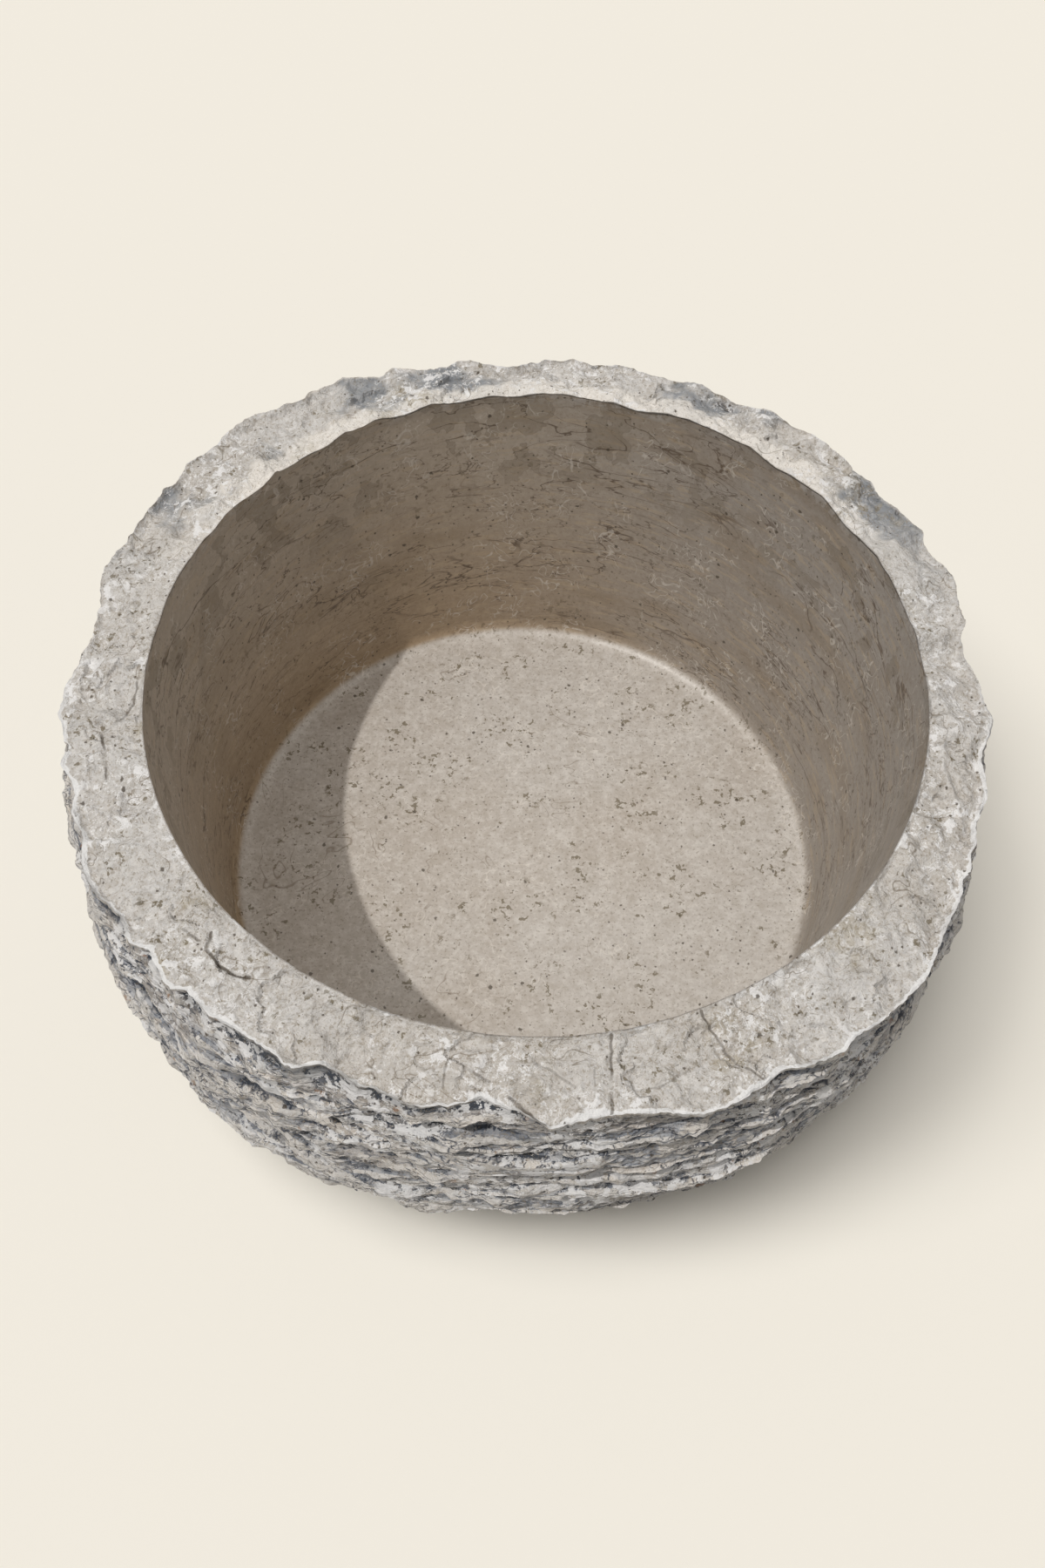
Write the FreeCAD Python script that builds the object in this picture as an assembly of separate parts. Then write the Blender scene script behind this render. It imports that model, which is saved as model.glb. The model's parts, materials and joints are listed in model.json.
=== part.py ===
import FreeCAD, Part
import math
import os
import random

# Marble planter: one block of stone, split and hewn outside, with a turned and honed hollow.
# Millimetres, +Z up. The origin is at the middle of the block, on the floor that the pads stand on.

# The turned hollow
mouth_radius = 250.0
hollow_depth = 244.0
wall_taper = 24.0  # how far the wall draws in between the mouth and the floor
cove_radius = 14.0  # rounds the wall into the floor
hollow_offset_x = 6.0  # the hollow isn't quite in the middle of the block
hollow_offset_y = 1.5

# The hewn block
floor_thickness = 46.0
rim_width = 54.0  # from the mouth to the outermost points of the rim
rim_fall = 8.0  # across that width
belly_swell = 5.0  # the belly stands out past the rim
belly_height = 150.0  # above the sawn base
base_draw_in = 68.0  # from the belly to the sawn base
squareness = 4.0  # left over from the square block that was rounded

# Hewing marks
bed_count = 14  # beds of stone that split one above the other
bed_unevenness = 0.5  # how much the beds differ in height, as a share of one bed
facet_count = 60  # split facets round each bed
scar_depth = 11.0  # deepest scar below the block's outline
ledge_depth = 14.0  # furthest that a bed's foot is set back behind the top of the bed below
shallowest_ledge = 0.2  # depth of the shallowest ledge, as a share of the deepest
ledge_height = 4.0
bed_wave = 4.0  # rise and fall of a bed joint round the block
wave_drift = 0.4  # most that the wave turns from one joint to the next, in radians
joint_step = 4.0  # most that a bed joint jumps from one facet to the next
rim_relief = 3.0  # flakes off the top of the rim
rim_bites = ((-111.0, 9.0), (-94.0, 11.0), (-6.0, 5.0))  # azimuth in degrees, depth
bite_half_width = 9.0  # degrees
hewing_seed = 11

# The pads under the base
pad_count = 4
pad_diameter = 50.0
pad_thickness = 4.0
pad_bevel = 1.0
pad_inset = 30.0  # from the base's edge to the nearest side of a pad

# Worked out from the sizes above
stone_height = floor_thickness + hollow_depth
rim_radius = mouth_radius + rim_width
rim_edge_height = stone_height - rim_fall
belly_radius = rim_radius + belly_swell
base_radius = belly_radius - base_draw_in


def block_radius(height):
    """Outline of the block before hewing: a round belly that draws in to the base and to the rim."""
    if height < belly_height:
        share = (belly_height - height) / belly_height
        return belly_radius - base_draw_in * share**2
    share = (height - belly_height) / (rim_edge_height - belly_height)
    return belly_radius - belly_swell * share**2


def square_swell(azimuth):
    """What is left of the square block's corners, halfway between the axes."""
    return -squareness * math.cos(4 * azimuth)


def bite(azimuth):
    """Depth of the bites broken out of the rim's outer edge."""
    depth = 0.0
    for middle, deepest in rim_bites:
        turn = (math.degrees(azimuth) - middle + 180) % 360 - 180
        depth = max(depth, deepest * (1 - abs(turn) / bite_half_width))
    return depth


def corner_azimuths(level):
    """Azimuths of an outline's corners. Every second level is turned by half a facet, so facets stagger."""
    turn = 0.5 * (level % 2)
    return [2 * math.pi * (facet + turn) / facet_count for facet in range(facet_count)]


def corner(radius, azimuth, height):
    """Point at a height above the sawn base."""
    return FreeCAD.Vector(radius * math.cos(azimuth), radius * math.sin(azimuth), pad_thickness + height)


def broken_line(chance):
    """Uneven shares from 0 to 1 for the corners of an outline, each drawn towards its neighbours."""
    loose = [chance.random() for _ in range(facet_count)]
    return [(loose[i - 1] + 3 * loose[i] + loose[(i + 1) % facet_count]) / 5 for i in range(facet_count)]


def split_outline(level, heights, set_back, chance):
    """One broken outline round the block, with a height for each corner, scarred and set back unevenly."""
    corners = []
    lines = zip(corner_azimuths(level), heights, broken_line(chance), broken_line(chance))
    for azimuth, height, scar, step in lines:
        radius = block_radius(height) + square_swell(azimuth) - scar_depth * scar - set_back * step
        corners.append(corner(radius, azimuth, height))
    return level, corners


def joint_heights(level, phase, chance):
    """Heights of one bed joint, corner by corner: a slow wave broken by small jumps."""
    beds_below = level + bed_unevenness * (chance.random() - 0.5)
    middle = rim_edge_height * beds_below / bed_count
    heights = []
    for azimuth in corner_azimuths(level):
        jump = joint_step * (chance.random() - 0.5)
        heights.append(middle + bed_wave * math.sin(2 * azimuth + phase) + jump)
    return heights


def bed_outlines(chance):
    """The sawn base, then at each bed joint the top of the lower bed and the foot of the upper one."""
    outlines = [split_outline(0, [0.0] * facet_count, 0.0, chance)]
    phase = 0.0
    for level in range(1, bed_count):
        phase += chance.uniform(-wave_drift, wave_drift)
        heights = joint_heights(level, phase, chance)
        outlines.append(split_outline(level, heights, 0.0, chance))
        heights = [height + ledge_height for height in heights]
        set_back = ledge_depth * chance.uniform(shallowest_ledge, 1)
        outlines.append(split_outline(level, heights, set_back, chance))
    return outlines


def rim_edge(level, chance):
    """The rim's broken outer edge."""
    corners = []
    for azimuth in corner_azimuths(level):
        broken = scar_depth * chance.random() + bite(azimuth)
        height = rim_edge_height - rim_relief * chance.random()
        corners.append(corner(rim_radius + square_swell(azimuth) - broken, azimuth, height))
    return level, corners


def rim_line(level, share, relief, chance):
    """A line along the top of the rim, a share of the way from its edge to the mouth, with flakes off it."""
    corners = []
    for azimuth in corner_azimuths(level):
        height = rim_edge_height + share * rim_fall - relief * chance.random()
        corners.append(corner(rim_radius - share * rim_width, azimuth, height))
    return level, corners


def rim_outlines(chance):
    """The rim's edge, two flaked lines along its top, and a level line inside the mouth."""
    return [
        rim_edge(bed_count, chance),
        rim_line(bed_count + 1, 1 / 3, rim_relief, chance),
        rim_line(bed_count + 2, 2 / 3, rim_relief, chance),
        rim_line(bed_count + 3, 2.0, 0.0, chance),
    ]


def flat_face(corners):
    return Part.Face(Part.makePolygon(corners + corners[:1]))


def facets_between(lower_outline, upper_outline):
    """Flat triangles that join two outlines."""
    lower_level, lower = lower_outline
    upper_level, upper = upper_outline
    turned_back = lower_level % 2 > upper_level % 2
    faces = []
    for i in range(facet_count):
        n = (i + 1) % facet_count
        if turned_back:
            triangles = [lower[i], lower[n], upper[n]], [lower[i], upper[n], upper[i]]
        else:
            triangles = [lower[i], lower[n], upper[i]], [lower[n], upper[n], upper[i]]
        faces += [flat_face(triangle) for triangle in triangles]
    return faces


def hewn_block():
    """The block as it splits: flat facets between broken outlines, from the sawn base to over the mouth."""
    chance = random.Random(hewing_seed)
    outlines = bed_outlines(chance) + rim_outlines(chance)
    base = flat_face(outlines[0][1])
    top = flat_face(outlines[-1][1])
    faces = [base, top]
    for lower, upper in zip(outlines, outlines[1:]):
        faces += facets_between(lower, upper)
    return Part.makeSolid(Part.makeShell(faces))


def hollow():
    """The space that is turned out of the block: a tapered wall, a cove and a flat floor."""
    slope = wall_taper / hollow_depth
    lean = math.atan(slope)
    floor_level = pad_thickness + floor_thickness
    over_mouth = floor_level + hollow_depth + 2 * rim_fall + rim_width

    def wall_radius(level):
        return mouth_radius - wall_taper + slope * (level - floor_level)

    cove_level = floor_level + cove_radius
    cove_middle = wall_radius(cove_level) - cove_radius / math.cos(lean)

    def on_cove(angle):
        return FreeCAD.Vector(
            cove_middle + cove_radius * math.cos(angle), 0, cove_level + cove_radius * math.sin(angle)
        )

    floor_end = on_cove(-math.pi / 2)
    wall_start = on_cove(-lean)
    wall_end = FreeCAD.Vector(wall_radius(over_mouth), 0, over_mouth)
    axis_top = FreeCAD.Vector(0, 0, over_mouth)
    axis_foot = FreeCAD.Vector(0, 0, floor_level)
    edges = [
        Part.makeLine(axis_foot, floor_end),
        Part.Arc(floor_end, on_cove(-(math.pi / 2 + lean) / 2), wall_start).toShape(),
        Part.makeLine(wall_start, wall_end),
        Part.makeLine(wall_end, axis_top),
        Part.makeLine(axis_top, axis_foot),
    ]
    profile = Part.Face(Part.Wire(edges))
    space = profile.revolve(FreeCAD.Vector(0, 0, 0), FreeCAD.Vector(0, 0, 1), 360)
    space.translate(FreeCAD.Vector(hollow_offset_x, hollow_offset_y, 0))
    return space


def planter_body():
    return hewn_block().cut(hollow())


def floor_pad(number):
    """Round pad under the sawn base, halfway between the axes, with its lower edge broken."""
    azimuth = 2 * math.pi * (number - 0.5) / pad_count
    reach = base_radius - pad_inset - pad_diameter / 2
    place = FreeCAD.Vector(reach * math.cos(azimuth), reach * math.sin(azimuth), 0)
    pad = Part.makeCylinder(pad_diameter / 2, pad_thickness, place)
    lower_edge = [edge for edge in pad.Edges if edge.BoundBox.ZMax < pad_thickness / 2]
    return pad.makeChamfer(pad_bevel, lower_edge)


os.makedirs("parts", exist_ok=True)
planter_body().exportStep("parts/planter_body.step")
for number in range(1, pad_count + 1):
    floor_pad(number).exportStep(f"parts/floor_pad_{number}.step")
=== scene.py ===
import json
import math

import bpy
import numpy as np
from mathutils import Matrix, Vector
from mathutils.bvhtree import BVHTree


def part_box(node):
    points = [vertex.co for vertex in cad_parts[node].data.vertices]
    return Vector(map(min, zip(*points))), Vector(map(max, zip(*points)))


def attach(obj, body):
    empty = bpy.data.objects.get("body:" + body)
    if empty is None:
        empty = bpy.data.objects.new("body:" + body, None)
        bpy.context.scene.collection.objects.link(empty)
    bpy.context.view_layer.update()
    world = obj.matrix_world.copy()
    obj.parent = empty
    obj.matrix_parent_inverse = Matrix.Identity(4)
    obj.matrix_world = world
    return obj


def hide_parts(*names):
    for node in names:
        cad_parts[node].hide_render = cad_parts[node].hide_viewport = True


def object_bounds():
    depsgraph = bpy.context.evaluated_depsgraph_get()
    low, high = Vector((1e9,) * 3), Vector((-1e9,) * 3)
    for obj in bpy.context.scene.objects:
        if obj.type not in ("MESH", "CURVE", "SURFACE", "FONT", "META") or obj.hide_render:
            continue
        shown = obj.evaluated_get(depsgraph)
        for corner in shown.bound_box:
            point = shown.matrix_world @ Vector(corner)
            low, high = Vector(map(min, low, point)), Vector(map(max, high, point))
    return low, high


# Marble planter: a block of beige limestone marble, split in beds outside, with a broken rim and a honed
# hollow. Metres, in the frame of the CAD part. The stone's mesh follows the CAD solid and adds its relief.

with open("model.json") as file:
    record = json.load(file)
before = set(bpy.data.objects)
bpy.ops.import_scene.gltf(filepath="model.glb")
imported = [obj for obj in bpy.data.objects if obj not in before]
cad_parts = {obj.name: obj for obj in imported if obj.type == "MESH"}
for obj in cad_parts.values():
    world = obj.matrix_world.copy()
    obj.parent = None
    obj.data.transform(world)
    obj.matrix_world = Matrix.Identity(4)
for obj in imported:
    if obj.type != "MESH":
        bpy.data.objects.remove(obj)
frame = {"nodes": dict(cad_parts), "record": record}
cad_low, cad_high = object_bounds()

# Mesh of the stone
COLUMNS = 1440  # round the outside and the rim
COLUMNS_PER_INNER = 4  # outside columns to each column of the hollow and the underside
RIM_ROWS = 46
UNDERSIDE_ROWS = 24
CAD_SAMPLES = 190  # heights at which the CAD solid's outside is measured
STONE_SEED = 7
SHARP_EDGE = math.radians(38)

# Split beds of the outside
MEAN_RADIUS = 0.3
BED_THICKNESS = (0.0042, 0.0110)  # thinnest and thickest
THINNEST_LEAF = 0.0012  # where two joints run together
FACE_SHARES = (0.25, 0.5, 0.75)  # heights of the rows on the face of a bed
# Waves of the joints between beds: height, length, change from joint to joint, and start of the pattern
JOINT_WAVES = (0.0060, 0.16, 0.10, 30), (0.0032, 0.055, 0.45, 60), (0.0008, 0.014, 1.3, 90)
SCOOP_COUNT = 70
SOFT_LIMIT = 0.0012  # how gently the stone keeps inside the CAD model's box
SPARE = 0.0003  # least distance from the sides of that box
TOP_SPARE = 0.0004  # least distance from its top

# Rim
RIM_FALL = 0.0085  # from the mouth to the broken outer edge
MOUTH_ARRIS = 0.0012  # how far the mouth's edge is worn
FLAKE_COUNT = 84
# The clearest flake: azimuth, distance from the hollow's axis, size, azimuth of its steep side, depth
MAIN_FLAKE = (math.radians(230.5), 0.262, 0.0125, math.radians(215), 0.0040)
# The rim's broken edge in front: azimuth in degrees, and distance from the hollow's axis
FRONT_EDGE = (
    (205, 0.3050), (214, 0.3020), (217, 0.3000), (220.5, 0.3035), (222.5, 0.2965), (228, 0.3035),
    (229.6, 0.2984), (233.7, 0.3008), (238, 0.2945), (242, 0.2948), (244.5, 0.2990), (247, 0.2923),
    (252, 0.2935), (258.7, 0.2965), (261.8, 0.2940), (265.2, 0.2866), (267.7, 0.2897), (272.5, 0.2990),
    (280, 0.2995), (288.5, 0.3060), (292.9, 0.3035), (297.8, 0.2988), (304.9, 0.3056), (307.2, 0.3020),
    (309.8, 0.3045), (317.6, 0.3050), (325, 0.3015), (331, 0.2984),
)
FRONT_FADE = 4  # degrees over which that edge runs into the rest
# Shell-shaped breaks under that edge: azimuth in degrees, how far below it, half width, half height, depth
FRONT_SCOOPS = (
    (260.7, 0.011, 0.016, 0.012, 0.007),
    (269.6, 0.014, 0.024, 0.015, 0.007),
    (254.5, 0.010, 0.022, 0.012, 0.005),
    (246.0, 0.013, 0.018, 0.012, 0.005),
    (229.0, 0.010, 0.016, 0.012, 0.005),
    (216.0, 0.012, 0.020, 0.014, 0.005),
    (298.0, 0.010, 0.018, 0.010, 0.004),
)
EDGE_BAY = 0.058  # length of the bays along the rest of the rim's outer edge
BAY_DEPTH = 0.0070
BAY_FALL = 0.0040  # how far the rim's edge drops in a bay
# Hollows that the chisel left on the rim, between crests: their size, how deep they are, and a seed
RIM_HOLLOWS = (0.110, 0.0080, 21), (0.045, 0.0085, 22), (0.019, 0.0026, 23)
MEAN_HOLLOW = 0.12  # share of that depth at the rim's mean height
GROOVE_DEPTH = 0.0013  # of the darkest crack
GROOVE_REACH = 0.0026  # on each side of a crack
CRACK_WANDER = 0.004  # width of the band in which a crack's dark line strays
# Cracks across the rim: how dark, then points along it by azimuth in degrees and distance from the axis
CRACKS = (
    (1.0, (225.9, 0.263), (227.2, 0.271), (229.5, 0.273), (231.6, 0.272), (233.8, 0.267)),
    (0.7, (220.6, 0.273), (222.9, 0.274), (225.7, 0.270)),
    (1.0, (191.0, 0.275), (195.1, 0.273), (198.5, 0.275)),
    (0.7, (190.6, 0.275), (190.4, 0.269), (188.5, 0.260), (184.3, 0.255), (182.5, 0.254)),
    (0.9, (268.2, 0.281), (272.2, 0.296)),
    (0.6, (260.6, 0.264), (264.1, 0.271), (265.8, 0.274)),
    (0.5, (260.6, 0.264), (260.7, 0.280)),
    (0.8, (280.7, 0.250), (279.7, 0.275), (279.0, 0.299)),
    (0.4, (280.1, 0.276), (282.0, 0.282), (284.6, 0.283), (286.6, 0.282), (288.9, 0.277)),
    (0.4, (271.3, 0.262), (275.5, 0.277)),
    (0.4, (278.1, 0.268), (277.4, 0.284)),
    (0.7, (292.7, 0.250), (293.4, 0.265), (293.6, 0.275), (295.0, 0.290), (295.9, 0.297)),
)
# Olive stains and white bruises on the rim: azimuth in degrees, distance from the hollow's axis, size
STAINS = (294.6, 0.272, 0.026), (226.0, 0.290, 0.020), (221.7, 0.262, 0.014)
BRUISES = (299.0, 0.263, 0.024), (226.0, 0.276, 0.018), (259.0, 0.262, 0.020)
EDGE_FALL = 30  # distance below the rim's edge counts this many times in from_edge, so its marks end soon

# Hollow: its floor lies a little left of the mouth's middle, and is a little smaller than in the solid
FLOOR_OFFSET = -0.007
FLOOR_SHRINK = 0.021  # share of the radius
# Distance between rows of points on its wall, round its cove and on its floor
WALL_STEP = 0.006
COVE_STEP = 0.0016
FLOOR_STEP = 0.009

# Camera, fitted to the outlines of the mouth and of the hollow's floor
CAMERA_DISTANCE = 0.950  # from the middle of the mouth
CAMERA_ELEVATION = math.radians(53.65)
CAMERA_TARGET = (-0.0065, -0.0871)  # on the plane of the mouth, from its middle
CAMERA_ROLL = math.radians(0.75)
CAMERA_LENS = 34.2  # millimetres, on a frame 36 mm high
FRAME_HEIGHT = 36.0

# Light: the key comes from the front left, as the edge of the shade in the hollow shows
KEY_TRAVEL = Vector((0.399, 0.227, -0.972))
KEY_STRENGTH = 1.75
KEY_ANGLE = math.radians(1.0)
OVERHEAD_TRAVEL = Vector((0, 0, -1))  # a broad soft light on the stone
OVERHEAD_STRENGTH = 1.12
OVERHEAD_ANGLE = math.radians(105)
FLOOR_KEY_TRAVEL = Vector((0.198, 0.153, -0.968))  # on the floor, where the shadow is soft
FLOOR_KEY_STRENGTH = 1.74
FLOOR_KEY_ANGLE = math.radians(27)
FLOOR_SIDE_TRAVEL = Vector((0.476, 0.147, -0.867))  # lower, for the long part of the shadow
FLOOR_SIDE_STRENGTH = 0.84
FLOOR_SIDE_ANGLE = math.radians(18)
KEY_COLOUR = (1.0, 0.97, 0.925)
FILL_STRENGTH = 0.20  # from all round
FILL_COLOUR = (1.0, 0.956, 0.903)
BACKDROP_COLOUR = (0.863, 0.815, 0.723)
FLOOR_COLOUR = (0.904, 0.882, 0.822)
BOUNCE_COLOUR = (0.50, 0.485, 0.46)  # the floor as the stone sees it
FLOOR_REACH = 6.0


class Noise:
    """Seeded gradient noise in space, from about -1 to 1."""

    def __init__(self, seed):
        chance = np.random.default_rng(seed)
        self.shuffle = chance.permutation(256)
        slopes = chance.normal(size=(256, 3))
        self.slopes = slopes / np.linalg.norm(slopes, axis=1)[:, None]

    def corner(self, cell, part, step):
        """What one corner of each point's cell adds to it."""
        x, y, z = ((cell[..., axis] + step[axis]) & 255 for axis in range(3))
        slope = self.slopes[self.shuffle[(self.shuffle[(self.shuffle[x] + y) & 255] + z) & 255]]
        return ((part - np.array(step)) * slope).sum(-1)

    def at(self, points):
        cell = np.floor(points).astype(int)
        part = points - cell
        ease = part**3 * (part * (part * 6 - 15) + 10)
        total = np.zeros(points.shape[:-1])
        for step in np.ndindex(2, 2, 2):
            weight = np.prod(np.where(step, ease, 1 - ease), axis=-1)
            total += weight * self.corner(cell, part, step)
        return total * 1.6

    def layers(self, points, count, gain=0.5):
        """Sum of several octaves, from about -1 to 1."""
        total = 0.0
        weight = 1.0
        for octave in range(count):
            total = total + weight * self.at(points * 2**octave + 11.3 * octave)
            weight *= gain
        return total


def smooth_step(low, high, value):
    share = np.clip((value - low) / (high - low), 0, 1)
    return share * share * (3 - 2 * share)


def blur(rows, reach, axis):
    """Running mean of rows, three times over, closed in azimuth and held at the ends in height."""
    for _ in range(3):
        if axis == 1:
            parts = [np.roll(rows, shift, 1) for shift in range(-reach, reach + 1)]
        else:
            padded = np.pad(rows, ((reach, reach), (0, 0)), mode="edge")
            parts = [padded[shift : shift + len(rows)] for shift in range(2 * reach + 1)]
        rows = sum(parts) / len(parts)
    return rows


class CadStone:
    """Rays against the CAD solid of the stone, about the axis of its hollow."""

    def __init__(self):
        mesh = frame["nodes"]["planter_body"].data
        corners = [vertex.co[:] for vertex in mesh.vertices]
        mesh.calc_loop_triangles()
        triangles = [triangle.vertices[:] for triangle in mesh.loop_triangles]
        self.tree = BVHTree.FromPolygons(corners, triangles)
        low, high = frame["record"]["physics"]["openings"][0]["box_m"]
        self.axis = np.array([(low[0] + high[0]) / 2, (low[1] + high[1]) / 2])
        box_low, box_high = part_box("planter_body")
        self.foot = box_low[2]
        self.top = box_high[2]
        self.floor = self.top - self.cast((0, 0, self.top), (0, 0, -1))
        self.mouth = self.cast((0, 0, self.top - 2 * RIM_FALL), (1, 0, 0))

    def cast(self, start, way):
        """Distance from a point, given about the hollow's axis, to the stone."""
        origin = Vector((start[0] + self.axis[0], start[1] + self.axis[1], start[2]))
        return self.tree.ray_cast(origin, Vector(way))[3]

    def outside(self, azimuth, height):
        """Radius of the outside, found from far out."""
        far = 1.0
        out = math.cos(azimuth), math.sin(azimuth)
        gap = self.cast((far * out[0], far * out[1], height), (-out[0], -out[1], 0))
        return far - gap

    def outside_map(self, azimuths, heights):
        return np.array([[self.outside(a, h) for a in azimuths] for h in heights])

    def hollow_profile(self, samples=900):
        """Radius and height down the wall, round the cove and along the floor to the axis."""
        eye = self.floor + 0.06
        points = []
        for height in np.linspace(self.top - RIM_FALL, eye, samples):
            points.append((self.cast((0, 0, height), (1, 0, 0)), height))
        for fall in np.linspace(0, math.pi / 2, samples)[1:-1]:
            way = math.cos(fall), 0, -math.sin(fall)
            reach = self.cast((0, 0, eye), way)
            points.append((reach * way[0], eye + reach * way[2]))
        return np.array(points)


def resample(profile, spacing):
    """Points along a profile, as far apart as spacing says for each height."""
    steps = np.linalg.norm(np.diff(profile, axis=0), axis=1)
    along = np.concatenate([[0], np.cumsum(steps)])
    places = [0.0]
    while places[-1] < along[-1]:
        height = np.interp(places[-1], along, profile[:, 1])
        places.append(places[-1] + spacing(height))
    places = np.array(places[:-1])
    return np.stack([np.interp(places, along, profile[:, axis]) for axis in (0, 1)], axis=1)


stone = CadStone()
azimuths = np.arange(COLUMNS) * 2 * math.pi / COLUMNS


def polar(radius, height, angles=azimuths):
    """Points about the hollow's axis."""
    radius, height, angles = np.broadcast_arrays(radius, height, angles)
    x = stone.axis[0] + radius * np.cos(angles)
    y = stone.axis[1] + radius * np.sin(angles)
    return np.stack([x, y, height], axis=-1)


def ring(wavelength, third):
    """Places for noise round the outside, with features of one length and a pattern for each third value."""
    turn = MEAN_RADIUS / wavelength
    return np.stack([turn * np.cos(azimuths), turn * np.sin(azimuths), np.full(COLUMNS, third)], axis=1)


def ridged(values):
    """Turns noise into concave bays that meet in sharp points, about zero on the average."""
    return 0.3 - np.abs(values)


class SplitSide:
    """The split outside: thin beds, each broken off along its own line, with open joints between them."""

    def __init__(self):
        self.chance = Noise(STONE_SEED)
        degrees = np.degrees(azimuths)
        turns, reaches = np.array(FRONT_EDGE).T
        from_start = smooth_step(turns[0], turns[0] + FRONT_FADE, degrees)
        to_end = smooth_step(turns[-1], turns[-1] - FRONT_FADE, degrees)
        self.front = from_start * to_end
        self.front_edge = np.interp(degrees, turns, reaches)
        self.jags = (0.0005 + 0.0008 * self.front) * ridged(self.chance.layers(ring(0.009, 3.3), 3, 0.6))
        self.bays = np.abs(self.chance.layers(ring(EDGE_BAY, 5.5), 3, 0.40)) * (1 - self.front)
        self.edge = self.rim_edge()
        self.joints = self.joint_heights()
        self.heights = np.linspace(stone.foot + 0.0005, stone.top - RIM_FALL - 0.003, CAD_SAMPLES)
        half_azimuths = azimuths[::2]
        cad = stone.outside_map(half_azimuths, self.heights)
        self.cad = np.repeat(blur(blur(cad, 3, 1), 1, 0), 2, axis=1)
        self.scoops = self.seed_scoops()
        self.outs = [self.stand_out(number) for number in range(len(self.joints) - 1)]

    def rim_edge(self):
        """Height of the rim's outer edge all round, lower in each bay."""
        wave = self.chance.layers(ring(0.09, 2.2), 3)
        return stone.top - RIM_FALL + 0.0004 + 0.0020 * wave - BAY_FALL * self.bays

    def joint_heights(self):
        """Heights of the joints between the beds, from the sawn base to the rim's edge, a row for each."""
        thickness = np.random.default_rng(STONE_SEED + 1).uniform(*BED_THICKNESS, size=200)
        levels = np.concatenate([[0], np.cumsum(thickness)])
        levels = levels[levels < self.edge.min() - stone.foot - BED_THICKNESS[0]]
        joints = []
        for number, level in enumerate(levels):
            wave = np.zeros(COLUMNS)
            for rise, length, change, start in JOINT_WAVES:
                wave += rise * self.chance.at(ring(length, number * change + start))
            height = stone.foot + level + wave * min(1, level / 0.02)
            if joints:
                height = np.maximum(height, joints[-1] + THINNEST_LEAF)
            joints.append(height)
        joints.append(self.edge)
        for number in range(len(joints) - 1, 0, -1):
            joints[number - 1] = np.minimum(joints[number - 1], joints[number] - THINNEST_LEAF / 3)
        return joints

    def seed_scoops(self):
        """Shell-shaped breaks, half of them just under the rim's edge."""
        chance = np.random.default_rng(STONE_SEED + 2)
        scoops = []
        for turn, under, *shape in FRONT_SCOOPS:
            scoops.append((math.radians(turn), self.edge.mean() - under, *shape))
        for number in range(SCOOP_COUNT):
            under_rim = number < SCOOP_COUNT // 2
            level = self.edge.mean() - chance.uniform(0.004, 0.030)
            if not under_rim:
                level = chance.uniform(stone.foot + 0.02, self.edge.mean() - 0.04)
            middle = chance.uniform(0, 2 * math.pi)
            half_width = chance.uniform(0.022, 0.050)
            half_height = chance.uniform(0.012, 0.024)
            scoops.append((middle, level, half_width, half_height, chance.uniform(0.003, 0.007)))
        return scoops

    def scoop_depth(self, height):
        depth = np.zeros(COLUMNS)
        for middle, level, half_width, half_height, deepest in self.scoops:
            turn = (azimuths - middle + math.pi) % (2 * math.pi) - math.pi
            reach = (turn * MEAN_RADIUS / half_width) ** 2 + ((height - level) / half_height) ** 2
            depth = np.maximum(depth, deepest * np.clip(1 - reach, 0, 1))
        return depth

    def whole(self, height):
        """Radius before the beds are broken, and how far a scoop smooths them, at one height a column."""
        height = height + 0.004 * self.chance.at(ring(0.05, 7.7))
        height = np.clip(height, self.heights[0], self.heights[-1])
        row = np.interp(height, self.heights, np.arange(len(self.heights)))
        low = np.clip(row.astype(int), 0, len(self.heights) - 2)
        part = row - low
        columns = np.arange(COLUMNS)
        radius = self.cad[low, columns] * (1 - part) + self.cad[low + 1, columns] * part
        near_edge = smooth_step(0.035, 0.004, self.edge - height)
        to_front_edge = self.front * (self.front_edge - self.cad[-1])
        radius += near_edge * (to_front_edge - BAY_DEPTH * self.bays + self.jags)
        depth = self.scoop_depth(height)
        return radius - depth, np.clip(depth / 0.004, 0, 1)

    def stand_out(self, number):
        """How far one bed stands out all round. Neighbouring beds nest, and the left is more broken."""
        left = 0.5 - 0.5 * np.cos(azimuths + 0.7)
        out = 0.0030 * self.chance.layers(ring(0.12, number * 0.20), 2)
        out += 0.0070 * ridged(self.chance.at(ring(0.065, number * 0.50 + 20)))
        out += (0.0030 + 0.0030 * left) * ridged(self.chance.at(ring(0.026, number * 0.85 + 40)))
        out += (0.0008 + 0.0020 * left) * ridged(self.chance.at(ring(0.010, number * 2.1 + 50)))
        thickness = self.joints[number + 1] - self.joints[number]
        lost = smooth_step(0.10, 0.3, self.chance.at(ring(0.08, number * 1.9 + 70)))
        return out - 0.006 * lost * smooth_step(0.009, 0.005, thickness)

    def face(self, number, height, share):
        """Radius of one bed's face at a height, the height, and how far a scoop smooths it."""
        whole, smoothed = self.whole(height)
        lean = 0.006 * self.chance.at(ring(0.05, number * 1.9 + 80)) * (share - 0.5)
        places = polar(whole, height)
        rough = 0.0016 * self.chance.layers(places / np.array([0.013, 0.013, 0.006]), 3, 0.65)
        relief = (self.outs[number] + lean) * (1 - 0.7 * smoothed) + rough
        near_edge = smooth_step(0.012, 0.0, self.edge - height)
        near_foot = smooth_step(0.010, 0.0, height - stone.foot)
        radius = whole + relief * (1 - (0.25 + 0.6 * self.front) * near_edge) - 0.006 * near_foot
        return radius, height, smoothed

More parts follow.
